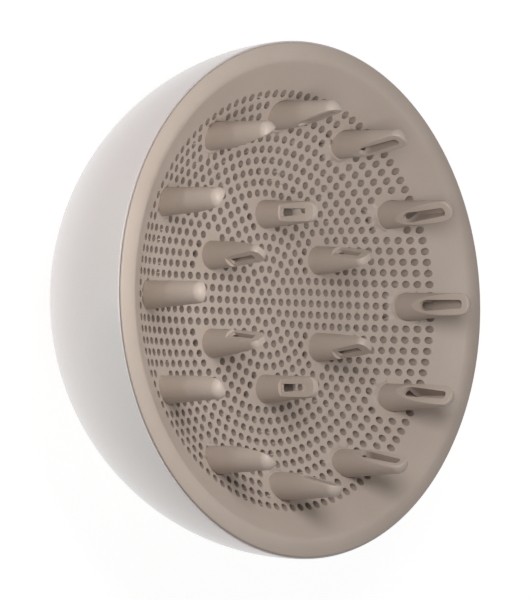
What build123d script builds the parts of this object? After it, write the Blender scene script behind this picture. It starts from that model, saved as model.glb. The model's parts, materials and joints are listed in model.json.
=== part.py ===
"""Hair dryer diffuser: a round bowl with a perforated, dished face and eighteen hollow air fingers.

Frame: millimetres, +Z up along the axis of the bowl, fingers pointing up. The origin is the centre of the
rear mouth, in the plane of the collar's rear face, so the part stands on its collar with the fingers up.
"""
from build123d import *

import os
from math import atan2, cos, degrees, hypot, pi, sin

# overall
rim_radius = 75.0
widest_z = 75.5           # plane of the bowl's widest circle
bowl_depth = 72.0         # semi-axis of the bowl's ellipse along Z, measured down from that plane
crest_z = 76.4            # highest circle of the face's lip
bowl_wall = 2.4
parting_z = 75.0          # top edge of the bowl
parting_gap = 0.3         # shadow line between the bowl and the face's lip

# rear collar and the nozzle bore
bore_radius = 21.0
collar_radius = 27.5
collar_shoulder_z = 8.7
collar_top_z = 12.0
collar_edge = 0.8         # rounding of the collar's rear edge
neck_radius = 26.4
neck_gap = 0.1
seal_radius = 22.6
seal_thickness = 1.8
seal_inner_radius = 19.2
seal_edge = 0.6
magnet_groove_inner = 21.8
magnet_groove_outer = 26.6
magnet_groove_depth = 4.5
carrier_height = 3.7
magnet_radius = 2.0
magnet_height = 2.6
magnet_edge = 0.2
magnet_count = 6

# inner liner
liner_wall = 1.5
liner_air_gap = 3.0
liner_floor_gap = 0.6     # added to the air gap along Z
throat_radius = 18.5
liner_floor_radius = 30.0
liner_floor_step = 0.8    # the floor's upper face is narrower than its lower one by this
liner_arc_start = -62.8   # degrees below the crest plane
liner_arc_size = 54.8
register_radius = 73.2    # bore in the bowl's rim that takes the liner and the face
register_z = 66.5
flange_radius = 73.0
screw_circle = 24.4
post_radius = 2.8
post_top_z = 27.0
post_hole_depth = 8.0

# air baffle
baffle_radius = 20.0
baffle_flat_radius = 14.0
baffle_thickness = 1.6
baffle_drop = 4.5
baffle_bend = 0.4         # the cone's upper edge is narrower than its lower one by this
ear_margin = 0.7          # ear round each post

# screws
shank_radius = 1.0
head_radius = 2.2
head_height = 1.5
head_edge = 0.6
recess_length, recess_width, recess_depth = 2.4, 0.6, 0.9
collar_screw_length = 8.0
baffle_screw_length = 7.5
bite_clearance = 0.05
pass_clearance = 0.25

# perforated face
face_thickness = 2.2
flat_radius = 33.6
flat_depth = 16.5         # flat centre below the crest
dish_end = (68.6, -0.8)   # radius, and height from the crest, where the dish meets the lip
dish_start_slope = 0.09
crest_radius = 70.8
lip_radius = 74.5
lip_shoulder = (74.1, -0.55)   # where the lip's gentle outward fall turns down, as radius and height
lip_corner_drop = 1.0
lip_depth = 3.3           # underside of the lip below the crest
skirt_inner_radius = 71.6
hole_pitch = 3.16
hole_radius = 1.08
hole_rings = 19
pad_radius = 5.8          # no hole is centred nearer than this to a finger's axis
snap_height = 0.4
snap_width = 1.0
snap_root = 0.2           # how far a ridge reaches back into the skirt
snap_count = 6
snap_angle = 12.0
snap_z = 69.8

# air fingers
root_radius = 4.15
root_fit = 0.05
seat_radius = 4.95        # boss under the face, and the flange of the finger below it
seat_thickness = 1.2
outer_circle = 53.9
outer_count = 12
outer_length = 24.0
outer_boss_depth = 6.0
outer_bore_radius = 2.2
inner_circle = 25.4
inner_count = 6
inner_length = 20.2
inner_boss_depth = 4.0
inner_bore_radius = 2.0

os.makedirs("parts", exist_ok=True)


def save(builder, label):
    """Name a finished piece and write its STEP file."""
    builder.part.label = label
    export_step(builder.part, f"parts/{label}.step", write_pcurves=False)


def polar_points(radius, count, first_degrees=0.0):
    """Points equally spaced round the axis."""
    angles = [first_degrees * pi / 180 + 2 * pi * k / count for k in range(count)]
    return [(radius * cos(angle), radius * sin(angle)) for angle in angles]


# the dish is an arc that leaves the flat centre at the start slope and ends at the lip
dish_run = dish_end[0] - flat_radius
dish_rise = dish_end[1] + flat_depth
start_angle = atan2(dish_start_slope, 1.0)
dish_turn = 2 * (atan2(dish_rise, dish_run) - start_angle)
dish_arc_radius = hypot(dish_run, dish_rise) / (2 * sin(dish_turn / 2))


def face_height(radius):
    """Height of the face's upper surface at a radius inside the lip."""
    if radius <= flat_radius:
        return crest_z - flat_depth
    sine = sin(start_angle) + (radius - flat_radius) / dish_arc_radius
    return crest_z - flat_depth + dish_arc_radius * (cos(start_angle) - (1 - sine * sine) ** 0.5)


outer_points = polar_points(outer_circle, outer_count)
inner_points = polar_points(inner_circle, inner_count, 30.0)
collar_screw_points = polar_points(screw_circle, 3, 30.0)
post_points = polar_points(screw_circle, 3, 90.0)


# outer bowl: a lacquered shell, thick and flat where the collar is clamped on
with BuildPart() as outer_bowl:
    with BuildSketch(Plane.XZ):
        with Locations((0, widest_z)):
            Ellipse(rim_radius, bowl_depth)
        with Locations((0, collar_shoulder_z)):
            Rectangle(rim_radius, parting_z - collar_shoulder_z, align=(Align.MIN, Align.MIN),
                      mode=Mode.INTERSECT)
    revolve(axis=Axis.Z)
    with BuildSketch(Plane.XZ):
        with Locations((0, widest_z)):
            Ellipse(rim_radius - bowl_wall, bowl_depth - bowl_wall)
        with Locations((0, collar_top_z)):
            Rectangle(rim_radius, widest_z - collar_top_z, align=(Align.MIN, Align.MIN),
                      mode=Mode.INTERSECT)
    revolve(axis=Axis.Z, mode=Mode.SUBTRACT)
    with BuildSketch(Plane.XY.offset(register_z)):
        Circle(register_radius)
    extrude(amount=widest_z - register_z, mode=Mode.SUBTRACT)
    with BuildSketch(Plane.XY.offset(snap_z - snap_width)):
        Circle(register_radius + snap_height)
    extrude(amount=2 * snap_width, mode=Mode.SUBTRACT)
    with BuildSketch(Plane.XY):
        Circle(neck_radius + neck_gap)
    extrude(amount=2 * collar_top_z, mode=Mode.SUBTRACT)
save(outer_bowl, "outer_bowl")


# rear collar: receives the nozzle, carries the magnets, clamps the bowl against the liner
with BuildPart() as rear_collar:
    with BuildSketch(Plane.XY):
        Circle(collar_radius)
    extrude(amount=collar_shoulder_z)
    fillet(rear_collar.faces().sort_by(Axis.Z)[0].edges(), collar_edge)
    with BuildSketch(Plane.XY.offset(collar_shoulder_z)):
        Circle(neck_radius)
    extrude(amount=collar_top_z - collar_shoulder_z)
    with BuildSketch(Plane.XY):
        Circle(bore_radius)
    extrude(amount=collar_top_z, mode=Mode.SUBTRACT)
    with BuildSketch(Plane.XY.offset(collar_top_z - seal_thickness)):
        Circle(seal_radius)
    extrude(amount=seal_thickness, mode=Mode.SUBTRACT)
    with BuildSketch(Plane.XY):
        Circle(magnet_groove_outer)
        Circle(magnet_groove_inner, mode=Mode.SUBTRACT)
    extrude(amount=magnet_groove_depth, mode=Mode.SUBTRACT)
    with BuildSketch(Plane.XY.offset(collar_top_z)):
        with Locations(*collar_screw_points):
            Circle(shank_radius + bite_clearance)
    extrude(amount=magnet_groove_depth + 0.5 - collar_top_z, mode=Mode.SUBTRACT)
save(rear_collar, "rear_collar")


# magnet carrier: closes the collar's rear groove, with one pocket for each magnet
with BuildPart() as magnet_carrier:
    with BuildSketch(Plane.XY):
        Circle(magnet_groove_outer - bite_clearance)
        Circle(magnet_groove_inner + bite_clearance, mode=Mode.SUBTRACT)
    extrude(amount=carrier_height)
    with BuildSketch(Plane.XY.offset(carrier_height - magnet_height)):
        with PolarLocations((magnet_groove_inner + magnet_groove_outer) / 2, magnet_count):
            Circle(magnet_radius + bite_clearance)
    extrude(amount=magnet_height, mode=Mode.SUBTRACT)
save(magnet_carrier, "magnet_carrier")


def make_magnet(center):
    """One disc magnet, its edges broken, standing in its pocket."""
    with BuildPart() as magnet:
        with BuildSketch(Plane.XY.offset(carrier_height - magnet_height)):
            with Locations(center):
                Circle(magnet_radius)
        extrude(amount=magnet_height)
        chamfer(magnet.edges().filter_by(GeomType.CIRCLE), magnet_edge)
    return magnet


magnet_circle = (magnet_groove_inner + magnet_groove_outer) / 2
for number, center in enumerate(polar_points(magnet_circle, magnet_count), start=1):
    save(make_magnet(center), f"magnet_{number:02d}")


# keeper ring: steel washer that closes the magnets' circuit
with BuildPart() as keeper_ring:
    with BuildSketch(Plane.XY.offset(carrier_height)):
        Circle(magnet_groove_outer - bite_clearance)
        Circle(magnet_groove_inner + bite_clearance, mode=Mode.SUBTRACT)
    extrude(amount=magnet_groove_depth - carrier_height)
save(keeper_ring, "keeper_ring")


# nozzle seal: soft washer trapped between the collar and the liner's floor
with BuildPart() as nozzle_seal:
    with BuildSketch(Plane.XY.offset(collar_top_z - seal_thickness)):
        Circle(seal_radius - bite_clearance)
        Circle(seal_inner_radius, mode=Mode.SUBTRACT)
    extrude(amount=seal_thickness)
    fillet(nozzle_seal.faces().sort_by(Axis.Z)[0].edges().sort_by(SortBy.LENGTH)[0], seal_edge)
save(nozzle_seal, "nozzle_seal")


# inner liner: heat shield that keeps an insulating air gap behind it and seats the face
liner_radial = rim_radius - bowl_wall - liner_air_gap
liner_axial = bowl_depth - bowl_wall - liner_air_gap - liner_floor_gap
liner_floor_top = collar_top_z + liner_wall
flange_top = register_z + liner_wall
with BuildPart() as inner_liner:
    with BuildSketch(Plane.XZ):
        with BuildLine():
            shell_back = EllipticalCenterArc((0, widest_z), liner_radial, liner_axial,
                                             liner_arc_start, arc_size=liner_arc_size)
            shell_front = EllipticalCenterArc((0, widest_z), liner_radial - liner_wall,
                                              liner_axial - liner_wall,
                                              liner_arc_start, arc_size=liner_arc_size)
            Polyline(shell_back @ 0, (liner_floor_radius, collar_top_z), (throat_radius, collar_top_z),
                     (throat_radius, liner_floor_top),
                     (liner_floor_radius - liner_floor_step, liner_floor_top),
                     shell_front @ 0)
            Polyline(shell_back @ 1, (flange_radius, register_z), (flange_radius, flange_top),
                     ((shell_front @ 1).X, flange_top), shell_front @ 1)
        make_face()
    revolve(axis=Axis.Z)
    with BuildSketch(Plane.XY.offset(liner_floor_top)):
        with Locations(*post_points):
            Circle(post_radius)
    extrude(amount=post_top_z - liner_floor_top)
    with BuildSketch(Plane.XY.offset(post_top_z)):
        with Locations(*post_points):
            Circle(shank_radius + bite_clearance)
    extrude(amount=-post_hole_depth, mode=Mode.SUBTRACT)
    with BuildSketch(Plane.XY.offset(collar_top_z)):
        with Locations(*collar_screw_points):
            Circle(shank_radius + pass_clearance)
    extrude(amount=liner_wall, mode=Mode.SUBTRACT)
save(inner_liner, "inner_liner")


# air baffle: turns the jet outwards, on three ears screwed to the liner's posts
with BuildPart() as air_baffle:
    with BuildSketch(Plane.XZ):
        with BuildLine():
            Polyline((0, post_top_z - baffle_drop), (baffle_flat_radius, post_top_z),
                     (baffle_radius, post_top_z), (baffle_radius, post_top_z + baffle_thickness),
                     (baffle_flat_radius - baffle_bend, post_top_z + baffle_thickness),
                     (0, post_top_z + baffle_thickness - baffle_drop), close=True)
        make_face()
    revolve(axis=Axis.Z)
    with BuildSketch(Plane.XY.offset(post_top_z)):
        with Locations(*post_points):
            Circle(post_radius + ear_margin)
        with PolarLocations(baffle_radius, 3, 90.0):
            Rectangle(2 * (screw_circle - baffle_radius), 2 * (post_radius + ear_margin))
    extrude(amount=baffle_thickness)
    with BuildSketch(Plane.XY.offset(post_top_z)):
        with Locations(*post_points):
            Circle(shank_radius + pass_clearance)
    extrude(amount=baffle_thickness, mode=Mode.SUBTRACT)
save(air_baffle, "air_baffle")


def make_screws(points, seat_z, length):
    """Pan head screws with a cross recess, heads sitting on seat_z."""
    with BuildPart() as screws:
        with BuildSketch(Plane.XY.offset(seat_z)):
            with Locations(*points):
                Circle(shank_radius)
        extrude(amount=-length)
        with BuildSketch(Plane.XY.offset(seat_z)):
            with Locations(*points):
                Circle(head_radius)
        extrude(amount=head_height)
        fillet(screws.edges().filter_by(GeomType.CIRCLE).group_by(Axis.Z)[-1], head_edge)
        with BuildSketch(Plane.XY.offset(seat_z + head_height)):
            with Locations(*points):
                Rectangle(recess_length, recess_width)
                Rectangle(recess_width, recess_length)
        extrude(amount=-recess_depth, mode=Mode.SUBTRACT)
    return screws


save(make_screws(collar_screw_points, liner_floor_top, collar_screw_length), "collar_screws")
save(make_screws(post_points, post_top_z + baffle_thickness, baffle_screw_length), "baffle_screws")


# front face: dished plate, lip and skirt in one moulding, drilled with rings of holes along the axis
def hole_points():
    """Centre hole and rings of 6 n holes, without those on the pads round the fingers."""
    points = [(0.0, 0.0)]
    for ring in range(1, hole_rings + 1):
        points += polar_points(ring * hole_pitch, 6 * ring)
    fingers = outer_points + inner_points
    return [p for p in points if min(hypot(p[0] - f[0], p[1] - f[1]) for f in fingers) > pad_radius]


with BuildPart() as front_grille:
    with BuildSketch(Plane.XZ):
        with BuildLine():
            flat_z = crest_z - flat_depth
            under_z = flat_z - face_thickness
            under_radius = flat_radius + face_thickness * dish_start_slope
            lip_start = (dish_end[0], crest_z + dish_end[1])
            Line((0, flat_z), (flat_radius, flat_z))
            dish = TangentArc((flat_radius, flat_z), lip_start, tangent=(1, dish_start_slope))
            TangentArc(lip_start, (crest_radius, crest_z), tangent=dish % 1)
            shoulder = (lip_shoulder[0], crest_z + lip_shoulder[1])
            lip = TangentArc((crest_radius, crest_z), shoulder, tangent=(1, 0))
            TangentArc(shoulder, (lip_radius, crest_z - lip_corner_drop), tangent=lip % 1)
            Polyline((lip_radius, crest_z - lip_corner_drop), (lip_radius, parting_z + parting_gap),
                     (flange_radius, parting_z + parting_gap), (flange_radius, flange_top),
                     (skirt_inner_radius, flange_top), (skirt_inner_radius, crest_z - lip_depth))
            TangentArc((under_radius, under_z), (skirt_inner_radius, crest_z - lip_depth),
                       tangent=(1, dish_start_slope))
            Polyline((under_radius, under_z), (0, under_z), (0, flat_z))
        make_face()
    revolve(axis=Axis.Z)
    for points, circle, depth in ((outer_points, outer_circle, outer_boss_depth),
                                  (inner_points, inner_circle, inner_boss_depth)):
        top_z = face_height(circle)
        with BuildSketch(Plane.XY.offset(top_z - depth)):
            with Locations(*points):
                Circle(seat_radius)
        extrude(amount=depth - face_thickness / 2)
    with BuildSketch(Plane.XY.offset(crest_z - 2 * flat_depth)):
        with Locations(*(outer_points + inner_points)):
            Circle(root_radius + root_fit)
        with Locations(*hole_points()):
            Circle(hole_radius)
    extrude(amount=2 * flat_depth, mode=Mode.SUBTRACT, clean=False)
    for index in range(snap_count):
        with BuildSketch(Plane.XZ.rotated((0, 0, 360 / snap_count * index))):
            with Locations((flange_radius - snap_root, snap_z)):
                Rectangle(snap_height, snap_width, align=(Align.MIN, Align.CENTER))
        revolve(axis=Axis.Z, revolution_arc=snap_angle)
save(front_grille, "front_grille")


def make_finger_root(depth):
    """Cylinder that fills its hole in the face, with a flange below it."""
    with BuildPart() as root:
        with BuildSketch(Plane.XY.offset(-depth)):
            Circle(root_radius)
        extrude(amount=depth)
        with BuildSketch(Plane.XY.offset(-depth - seat_thickness)):
            Circle(seat_radius)
        extrude(amount=seat_thickness)
    return root.part


def make_outer_finger():
    """Tapered peg, cut by a slanted plane on the side that faces the axis, with one blind slot in it.

    Its own frame: z from the face's surface, x outwards from the bowl's axis.
    """
    facet_foot = (-3.95, 5.5)
    facet_tip = (0.3, outer_length)
    slot_foot, slot_tip = 8.0, 22.0
    slot_foot_width, slot_tip_width = 3.2, 2.6
    back_wall_x = 2.1
    with BuildPart() as finger:
        with BuildSketch(Plane.XY):
            Circle(root_radius)
        with BuildSketch(Plane.XY.offset(outer_length)):
            Ellipse(3.35, 3.05)
        loft()
        fillet(finger.faces().sort_by(Axis.Z)[-1].edges(), 2.6)
        slope = (facet_tip[0] - facet_foot[0]) / (facet_tip[1] - facet_foot[1])
        top = (facet_tip[0] + slope, outer_length + 1)
        bottom = (facet_foot[0] - 3 * slope, facet_foot[1] - 3)
        with BuildSketch(Plane.XZ):
            with BuildLine():
                Polyline(bottom, top, (-6, top[1]), (-6, bottom[1]), close=True)
            make_face()
        extrude(amount=5, both=True, mode=Mode.SUBTRACT)
        facet = finger.faces().filter_by(GeomType.PLANE).sort_by(Axis.X)[0]
        fillet(facet.edges(), 0.4)
        with BuildSketch(Plane.YZ.offset(back_wall_x)):
            straight_foot = slot_foot + slot_foot_width * 0.8
            straight_tip = slot_tip - slot_tip_width * 0.35
            with BuildLine():
                Line((-slot_foot_width / 2, straight_foot), (-slot_tip_width / 2, straight_tip))
                EllipticalCenterArc((0, straight_tip), slot_tip_width / 2, slot_tip - straight_tip,
                                    0, arc_size=180)
                Line((slot_tip_width / 2, straight_tip), (slot_foot_width / 2, straight_foot))
                EllipticalCenterArc((0, straight_foot), slot_foot_width / 2, straight_foot - slot_foot,
                                    180, arc_size=180)
            make_face()
        extrude(amount=-8, mode=Mode.SUBTRACT)
        add(make_finger_root(outer_boss_depth))
        with BuildSketch(Plane.XY.offset(slot_foot + 0.6)):
            Circle(outer_bore_radius)
        extrude(amount=-slot_foot - outer_boss_depth - 2 * seat_thickness, mode=Mode.SUBTRACT)
    return finger


def make_inner_finger():
    """Tapered peg whose two tangential sides are stepped flats closing to the tip, with a through slot.

    Its own frame: z from the face's surface, x outwards from the bowl's axis.
    """
    ledge_z = 8.6
    flat_half_foot, flat_half_tip = 2.75, 0.95
    slot_foot, slot_tip = 9.2, 17.4
    slot_half_foot, slot_half_tip = 1.2, 0.9
    with BuildPart() as finger:
        with BuildSketch(Plane.XY):
            Circle(root_radius)
        with BuildSketch(Plane.XY.offset(inner_length)):
            Circle(2.95)
        loft()
        fillet(finger.faces().sort_by(Axis.Z)[-1].edges(), 2.3)
        for side in (-1, 1):
            with BuildSketch(Plane.YZ):
                with BuildLine():
                    Polyline((side * flat_half_foot, ledge_z), (side * flat_half_tip, inner_length),
                             (side * flat_half_tip, inner_length + 1), (side * 6, inner_length + 1),
                             (side * 6, ledge_z - 0.5), close=True)
                make_face()
            extrude(amount=5, both=True, mode=Mode.SUBTRACT)
        with BuildSketch(Plane.XZ):
            with BuildLine():
                Polyline((-slot_half_foot, slot_foot), (-slot_half_tip, slot_tip),
                         (slot_half_tip, slot_tip), (slot_half_foot, slot_foot), close=True)
            make_face()
        extrude(amount=5, both=True, mode=Mode.SUBTRACT)
        add(make_finger_root(inner_boss_depth))
        with BuildSketch(Plane.XY.offset(slot_foot + 0.8)):
            Circle(inner_bore_radius)
        extrude(amount=-slot_foot - inner_boss_depth - 2 * seat_thickness, mode=Mode.SUBTRACT)
    return finger


def place_fingers(finger, points, circle, family):
    """Write one copy of a finger for each point, turned so that its x points away from the axis."""
    for number, point in enumerate(points, start=1):
        turn = degrees(atan2(point[1], point[0]))
        with BuildPart() as placed:
            with Locations(Location((point[0], point[1], face_height(circle)), (0, 0, turn))):
                add(finger.part)
        save(placed, f"{family}_{number:02d}")


place_fingers(make_outer_finger(), outer_points, outer_circle, "finger_outer")
place_fingers(make_inner_finger(), inner_points, inner_circle, "finger_inner")
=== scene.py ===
import json
from math import pi

import bmesh
import bpy
from mathutils import Matrix, Vector


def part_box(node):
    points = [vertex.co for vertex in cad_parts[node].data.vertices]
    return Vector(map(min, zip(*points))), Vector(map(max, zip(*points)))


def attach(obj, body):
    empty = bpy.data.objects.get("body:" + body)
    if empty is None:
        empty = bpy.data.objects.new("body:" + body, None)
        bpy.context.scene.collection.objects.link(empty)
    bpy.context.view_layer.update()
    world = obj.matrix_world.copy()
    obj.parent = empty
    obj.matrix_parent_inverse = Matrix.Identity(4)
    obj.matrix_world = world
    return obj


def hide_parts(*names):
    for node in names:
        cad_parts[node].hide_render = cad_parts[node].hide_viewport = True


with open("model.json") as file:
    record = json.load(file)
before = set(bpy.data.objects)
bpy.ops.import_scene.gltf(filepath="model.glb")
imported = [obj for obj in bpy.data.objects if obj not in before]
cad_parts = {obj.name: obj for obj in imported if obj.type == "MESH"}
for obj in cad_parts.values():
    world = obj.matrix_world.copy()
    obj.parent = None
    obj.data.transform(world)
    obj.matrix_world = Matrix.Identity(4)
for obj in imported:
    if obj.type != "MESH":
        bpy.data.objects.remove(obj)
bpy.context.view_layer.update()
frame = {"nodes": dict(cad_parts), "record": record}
slotOf = {part["node"]: part["material_slot"] for part in frame["record"]["subparts"]}
widestHeight = 0.0755                          # plane of the bowl's widest circle, above the floor
print("frame loaded,", len(frame["nodes"]), "parts")


# camera: a long lens, looking down on the face from beside the bowl, rolled so that its axis lies flat
cameraSettings = {
    "towardsCamera": (-0.712, -0.048, 0.700),
    "upInPicture": (-0.033, 0.999, 0.036),
    "distance": 2.4,
    "lens": 498.0,                             # mm
    "sensor": 36.0,                            # mm
    "nearest": 0.05,
    "farthest": 60.0,
    "aimRight": -0.0112,                       # picture's middle, from the centre of the widest circle
    "aimUp": -0.0001,
}


def addCamera(settings):
    back = Vector(settings["towardsCamera"]).normalized()
    right = Vector(settings["upInPicture"]).cross(back).normalized()
    up = back.cross(right)
    aim = Vector((0, 0, widestHeight)) + right * settings["aimRight"] + up * settings["aimUp"]
    camera = bpy.data.objects.new("camera", bpy.data.cameras.new("camera"))
    camera.data.lens = settings["lens"]
    camera.data.sensor_width = settings["sensor"]
    camera.data.clip_start = settings["nearest"]
    camera.data.clip_end = settings["farthest"]
    turn = Matrix((right, up, back)).transposed().to_4x4()
    camera.matrix_world = Matrix.Translation(aim + back * settings["distance"]) @ turn
    bpy.context.scene.collection.objects.link(camera)
    bpy.context.scene.camera = camera


addCamera(cameraSettings)
print("camera placed")


# light: a dim room lit from above, a lamp close above the left rim, one from the left, and a glowing floor
# whose glow is a painted pool of light round the object that washes out its shadow
studioSettings = {
    "roomColor": (1.0, 0.985, 0.975, 1.0),
    "roomSide": (0.05, 0.1, 0.99),             # brightest towards here
    "roomDim": 0.0,
    "roomBright": 0.47,
    "floorSize": 12.0,
    "floorColor": (0.40, 0.40, 0.40, 1.0),
    # painted pool of light: the floor glows brightest round the object, enough to wash out the object's
    # shadow
    "floorGlow": 0.82,
    "floorGlowFar": 0.25,
    "floorMiddle": (0.065, 0.0, 0.0),          # centre of the glow
    "floorNear": 0.18,                         # the floor keeps its full glow within this radius
    "floorFar": 0.55,
    "lights": {                                # place, aim, width, watts, colour
        "key": ((-0.12, 0.03, 0.25), (-0.03, 0, 0.07), 0.12, 0.33, (1.0, 0.975, 0.96)),
        "side": ((-1.0, 0.55, 0.0), (0, 0, 0.04), 0.3, 3.2, (1.0, 0.97, 0.97)),
    },
}


def addLight(name, place, aim, width, watts, color):
    light = bpy.data.objects.new(name, bpy.data.lights.new(name, "AREA"))
    light.data.shape = "DISK"
    light.data.size = width
    light.data.energy = watts
    light.data.color = color
    light.visible_camera = False
    light.location = place
    light.rotation_euler = (Vector(place) - Vector(aim)).to_track_quat("Z", "Y").to_euler()
    bpy.context.scene.collection.objects.link(light)


def makeObject(name, mesh, material):
    made = bpy.data.objects.new(name, bpy.data.meshes.new(name))
    mesh.to_mesh(made.data)
    mesh.free()
    made.data.materials.append(material)
    bpy.context.scene.collection.objects.link(made)
    return made


# material helpers
def newFinish(name):
    material = bpy.data.materials.new(name)
    material.use_nodes = True
    return material, material.node_tree, material.node_tree.nodes["Principled BSDF"]


def addNode(tree, kind, inputs, **choices):
    node = tree.nodes.new("ShaderNode" + kind)
    for name, value in choices.items():
        setattr(node, name, value)
    for name, value in inputs.items():
        if isinstance(value, bpy.types.NodeSocket):
            tree.links.new(value, node.inputs[name])
        else:
            node.inputs[name].default_value = value
    return node


def addStudio(settings):
    world = bpy.data.worlds.new("studio")
    world.use_nodes = True
    tree = world.node_tree
    sky = addNode(tree, "TexCoord", {}).outputs["Generated"]
    side = addNode(tree, "VectorMath", {0: sky, 1: settings["roomSide"]}, operation="DOT_PRODUCT")
    glow = addNode(tree, "MapRange", {"Value": side.outputs["Value"], "From Min": -1.0, "From Max": 1.0,
                                      "To Min": settings["roomDim"], "To Max": settings["roomBright"]})
    background = tree.nodes["Background"]
    background.inputs["Color"].default_value = settings["roomColor"]
    tree.links.new(glow.outputs["Result"], background.inputs["Strength"])
    bpy.context.scene.world = world
    bpy.context.scene.view_settings.view_transform = "Standard"
    for name, choices in settings["lights"].items():
        addLight(name, *choices)
    # floor finish: grey, with an emission that paints a pool of light round the object. It is full within
    # floorNear of floorMiddle and fades to floorGlowFar by floorFar, washing out the object's shadow on the
    # floor
    glowPoolFinish, tree, shader = newFinish("glowPoolFloor")
    place = addNode(tree, "TexCoord", {}).outputs["Object"]
    reach = addNode(tree, "VectorMath", {0: place, 1: settings["floorMiddle"]}, operation="DISTANCE")
    fade = addNode(tree, "MapRange", {"Value": reach.outputs["Value"], "From Min": settings["floorNear"],
                                      "From Max": settings["floorFar"], "To Min": settings["floorGlow"],
                                      "To Max": settings["floorGlowFar"]}, interpolation_type="SMOOTHSTEP")
    tree.links.new(fade.outputs["Result"], shader.inputs["Emission Strength"])
    shader.inputs["Base Color"].default_value = settings["floorColor"]
    shader.inputs["Roughness"].default_value = 1.0
    shader.inputs["Specular IOR Level"].default_value = 0.0
    shader.inputs["Emission Color"].default_value = (1, 1, 1, 1)
    mesh = bmesh.new()
    bmesh.ops.create_grid(mesh, x_segments=1, y_segments=1, size=settings["floorSize"] / 2)
    makeObject("floor", mesh, glowPoolFinish)


addStudio(studioSettings)
print("studio ready")


# finishes
def makeMoulded(name, settings):
    material, tree, shader = newFinish(name)
    place = addNode(tree, "TexCoord", {}).outputs["Object"]
    cloud = addNode(tree, "TexNoise", {"Vector": place, "Scale": settings["cloudScale"], "Detail": 4.0})
    grain = addNode(tree, "TexNoise", {"Vector": place, "Scale": settings["grainScale"], "Detail": 2.0})
    fleck = addNode(tree, "TexVoronoi", {"Vector": place, "Scale": settings["fleckScale"]})
    mottle = addNode(tree, "Mix", {"Factor": cloud.outputs["Fac"]}, data_type="RGBA")
    mottle.inputs["A"].default_value = settings["dark"]
    mottle.inputs["B"].default_value = settings["light"]
    speckled = addNode(tree, "HueSaturation", {"Color": mottle.outputs["Result"]})
    span = settings["fleckSpan"]
    value = addNode(tree, "MapRange", {"Value": fleck.outputs["Distance"],
                                       "To Min": 1 - span, "To Max": 1 + span})
    tree.links.new(value.outputs["Result"], speckled.inputs["Value"])
    tree.links.new(speckled.outputs["Color"], shader.inputs["Base Color"])
    low, high = settings["roughness"]
    gloss = addNode(tree, "MapRange", {"Value": cloud.outputs["Fac"], "From Min": 0.3, "From Max": 0.7,
                                       "To Min": low, "To Max": high})
    tree.links.new(gloss.outputs["Result"], shader.inputs["Roughness"])
    bump = addNode(tree, "Bump", {"Height": grain.outputs["Fac"], "Strength": settings["grainStrength"],
                                  "Distance": settings["grainDepth"]})
    tree.links.new(bump.outputs["Normal"], shader.inputs["Normal"])
    shader.inputs["Specular IOR Level"].default_value = settings["specular"]
    return material


mouldedSettings = {
    "face_plastic": {
        "dark": (0.420, 0.351, 0.302, 1), "light": (0.478, 0.407, 0.354, 1),
        "cloudScale": 60.0, "fleckScale": 2600.0, "fleckSpan": 0.025,
        "grainScale": 3200.0, "grainStrength": 0.35, "grainDepth": 0.00006,
        "roughness": (0.42, 0.52), "specular": 0.45,
    },
    "collar_plastic": {
        "dark": (0.370, 0.315, 0.268, 1), "light": (0.420, 0.362, 0.312, 1),
        "cloudScale": 80.0, "fleckScale": 3000.0, "fleckSpan": 0.02,
        "grainScale": 4200.0, "grainStrength": 0.25, "grainDepth": 0.00005,
        "roughness": (0.34, 0.44), "specular": 0.5,
    },
    "liner_plastic": {
        "dark": (0.098, 0.088, 0.080, 1), "light": (0.140, 0.128, 0.116, 1),
        "cloudScale": 50.0, "fleckScale": 2000.0, "fleckSpan": 0.06,
        "grainScale": 2200.0, "grainStrength": 0.4, "grainDepth": 0.00008,
        "roughness": (0.58, 0.7), "specular": 0.35,
    },
    "silicone": {
        "dark": (0.060, 0.058, 0.058, 1), "light": (0.085, 0.083, 0.082, 1),
        "cloudScale": 120.0, "fleckScale": 1500.0, "fleckSpan": 0.08,
        "grainScale": 1800.0, "grainStrength": 0.3, "grainDepth": 0.00005,
        "roughness": (0.5, 0.62), "specular": 0.4,
    },
}

lacquerSettings = {
    # pearl coat tints: rose, pearl and sage bands. They are partly the coat's own pearl tint and partly
    # painted reflection of the surroundings; the sage band is the darkest
    "rose": (0.610, 0.558, 0.545, 1), "sage": (0.560, 0.560, 0.543, 1), "pearl": (0.618, 0.592, 0.574, 1),
    "tintAndReflectionScale": 14.0, "rosePlace": 0.32, "pearlPlace": 0.5, "sagePlace": 0.68,
    "flakeScale": 5200.0, "flakeSpan": 0.03,
    "peelScale": 420.0, "peelStrength": 0.12, "peelDepth": 0.00003,
    "metallic": 0.12, "roughness": (0.30, 0.36), "specular": 0.5,
    "coat": 0.5, "coatRoughness": 0.16,
}


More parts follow.
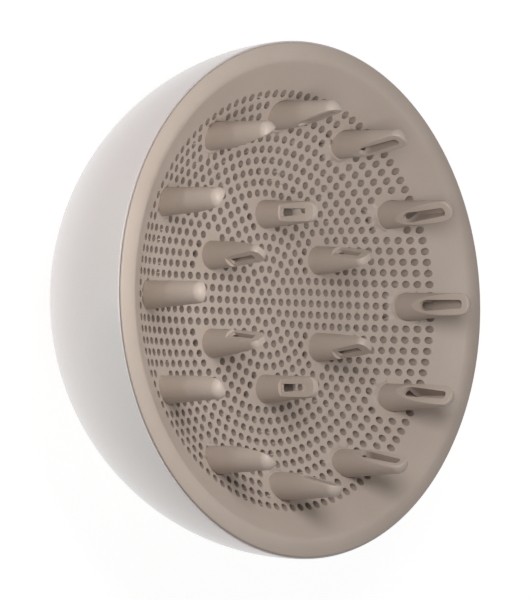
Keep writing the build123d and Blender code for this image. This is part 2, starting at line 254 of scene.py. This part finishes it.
def makeLacquer(settings):
    material, tree, shader = newFinish("pearlLacquer")
    place = addNode(tree, "TexCoord", {}).outputs["Object"]
    # painted reflection: a large soft noise lays the rose, pearl and sage bands into the base colour. These
    # are partly the coat's own tint and partly reflected surroundings painted in; the same noise sets the
    # satin roughness
    tintAndReflectionDrift = addNode(tree, "TexNoise", {"Vector": place, "Scale": settings["tintAndReflectionScale"], "Detail": 1.5})
    tintAndReflectionBands = addNode(tree, "ValToRGB", {"Fac": tintAndReflectionDrift.outputs["Fac"]})
    first, last = tintAndReflectionBands.color_ramp.elements
    first.position, first.color = settings["rosePlace"], settings["rose"]
    last.position, last.color = settings["sagePlace"], settings["sage"]
    tintAndReflectionBands.color_ramp.elements.new(settings["pearlPlace"]).color = settings["pearl"]
    flake = addNode(tree, "TexVoronoi", {"Vector": place, "Scale": settings["flakeScale"]})
    sparkle = addNode(tree, "MapRange", {"Value": flake.outputs["Color"], "To Min": 1 - settings["flakeSpan"],
                                         "To Max": 1 + settings["flakeSpan"]})
    pearl = addNode(tree, "HueSaturation", {"Color": tintAndReflectionBands.outputs["Color"],
                                            "Value": sparkle.outputs["Result"]})
    tree.links.new(pearl.outputs["Color"], shader.inputs["Base Color"])
    low, high = settings["roughness"]
    satin = addNode(tree, "MapRange", {"Value": tintAndReflectionDrift.outputs["Fac"], "To Min": low, "To Max": high})
    tree.links.new(satin.outputs["Result"], shader.inputs["Roughness"])
    peel = addNode(tree, "TexNoise", {"Vector": place, "Scale": settings["peelScale"], "Detail": 1.0})
    bump = addNode(tree, "Bump", {"Height": peel.outputs["Fac"], "Strength": settings["peelStrength"],
                                  "Distance": settings["peelDepth"]})
    tree.links.new(bump.outputs["Normal"], shader.inputs["Normal"])
    shader.inputs["Metallic"].default_value = settings["metallic"]
    shader.inputs["Specular IOR Level"].default_value = settings["specular"]
    shader.inputs["Coat Weight"].default_value = settings["coat"]
    shader.inputs["Coat Roughness"].default_value = settings["coatRoughness"]
    return material


scratchStrength = 0.2
metalSettings = {
    "keeper_steel": {"color": (0.50, 0.50, 0.51, 1), "tint": (0.40, 0.40, 0.41, 1), "scale": 300.0,
                     "roughness": (0.34, 0.5), "scratchDepth": 0.00002},
    "screw_steel": {"color": (0.56, 0.56, 0.58, 1), "tint": (0.44, 0.44, 0.46, 1), "scale": 900.0,
                    "roughness": (0.25, 0.4), "scratchDepth": 0.00001},
    "magnet_nickel": {"color": (0.72, 0.70, 0.66, 1), "tint": (0.62, 0.60, 0.57, 1), "scale": 500.0,
                      "roughness": (0.14, 0.24), "scratchDepth": 0.000006},
}


def makeMetal(name, settings):
    material, tree, shader = newFinish(name)
    place = addNode(tree, "TexCoord", {}).outputs["Object"]
    stain = addNode(tree, "TexNoise", {"Vector": place, "Scale": settings["scale"], "Detail": 5.0})
    color = addNode(tree, "Mix", {"Factor": stain.outputs["Fac"]}, data_type="RGBA")
    color.inputs["A"].default_value = settings["color"]
    color.inputs["B"].default_value = settings["tint"]
    tree.links.new(color.outputs["Result"], shader.inputs["Base Color"])
    low, high = settings["roughness"]
    gloss = addNode(tree, "MapRange", {"Value": stain.outputs["Fac"], "To Min": low, "To Max": high})
    tree.links.new(gloss.outputs["Result"], shader.inputs["Roughness"])
    bump = addNode(tree, "Bump", {"Height": stain.outputs["Fac"], "Strength": scratchStrength,
                                  "Distance": settings["scratchDepth"]})
    tree.links.new(bump.outputs["Normal"], shader.inputs["Normal"])
    shader.inputs["Metallic"].default_value = 1.0
    return material


finishes = {"shell_lacquer": makeLacquer(lacquerSettings)}
for slot, settings in mouldedSettings.items():
    finishes[slot] = makeMoulded(slot, settings)
for slot, settings in metalSettings.items():
    finishes[slot] = makeMetal(slot, settings)
for name, node in frame["nodes"].items():
    for materialSlot in node.material_slots:
        materialSlot.material = finishes[slotOf[name]]
print("finishes on the parts")


# outer bowl: half an ellipse spun round the axis, so that its gloss runs without facets
bowlSettings = {
    "depth": 0.072,                            # semi-axis of the ellipse, below the widest circle
    "wall": 0.0018,
    "neckShare": 0.965,                        # radius of the hole at the foot, as a share of the collar's
    "weld": 1e-6,
    "rimRounding": 0.00025,
    "rimSteps": 3,
    "rimAngle": 0.7,                           # edges sharper than this are rounded
    "arcSegments": 360,
    "spinSteps": 240,
}


def makeBowl(settings):
    low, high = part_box("outer_bowl")
    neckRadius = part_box("rear_collar")[1].x * settings["neckShare"]
    mesh = bmesh.new()
    bmesh.ops.create_circle(mesh, segments=settings["arcSegments"], radius=1.0)
    bmesh.ops.scale(mesh, vec=(high.x, settings["depth"], 1), verts=mesh.verts)
    bmesh.ops.rotate(mesh, cent=(0, 0, 0), matrix=Matrix.Rotation(pi / 2, 3, "X"), verts=mesh.verts)
    bmesh.ops.translate(mesh, vec=(0, 0, widestHeight), verts=mesh.verts)
    for place, side in (((0, 0, high.z), (0, 0, 1)), ((0, 0, low.z), (0, 0, -1)), ((0, 0, 0), (-1, 0, 0))):
        bmesh.ops.bisect_plane(mesh, geom=mesh.verts[:] + mesh.edges[:], plane_co=place, plane_no=side,
                               clear_outer=True)
    foot = min(mesh.verts, key=lambda vert: vert.co.z)
    inner = bmesh.ops.extrude_vert_indiv(mesh, verts=[foot])["verts"]
    inner[0].co.x = neckRadius
    bmesh.ops.spin(mesh, geom=mesh.verts[:] + mesh.edges[:], cent=(0, 0, 0), axis=(0, 0, 1),
                   angle=2 * pi, steps=settings["spinSteps"], use_merge=True)
    bmesh.ops.remove_doubles(mesh, verts=mesh.verts, dist=settings["weld"])
    bmesh.ops.recalc_face_normals(mesh, faces=mesh.faces)
    bowl = makeObject("bowlShell", mesh, finishes["shell_lacquer"])
    bowl.data.shade_smooth()
    wall = bowl.modifiers.new("wall", "SOLIDIFY")
    wall.thickness = settings["wall"]
    wall.offset = -1.0
    wall.use_even_offset = True
    edge = bowl.modifiers.new("edge", "BEVEL")
    edge.width = settings["rimRounding"]
    edge.segments = settings["rimSteps"]
    edge.limit_method = "ANGLE"
    edge.angle_limit = settings["rimAngle"]
    edge.harden_normals = True
    return bowl


bowl = makeBowl(bowlSettings)
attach(bowl, "root")
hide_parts("outer_bowl")
print("bowl made")


# face: welded into one closed skin, light enough to be written out whole
grilleSettings = {
    "weld": 1e-6,
    "keep": 0.875,                             # share of the triangles kept
    "sharpAngle": 0.55,
}


def makeGrille(settings):
    mesh = bmesh.new()
    mesh.from_mesh(frame["nodes"]["front_grille"].data)
    bmesh.ops.remove_doubles(mesh, verts=mesh.verts, dist=settings["weld"])
    grille = makeObject("faceGrille", mesh, finishes["face_plastic"])
    grille.data.shade_smooth()
    grille.data.set_sharp_from_angle(angle=settings["sharpAngle"])
    thin = grille.modifiers.new("thin", "DECIMATE")
    thin.ratio = settings["keep"]
    even = grille.modifiers.new("even", "WEIGHTED_NORMAL")
    even.keep_sharp = True
    return grille


grille = makeGrille(grilleSettings)
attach(grille, "root")
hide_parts("front_grille")
print("grille made")
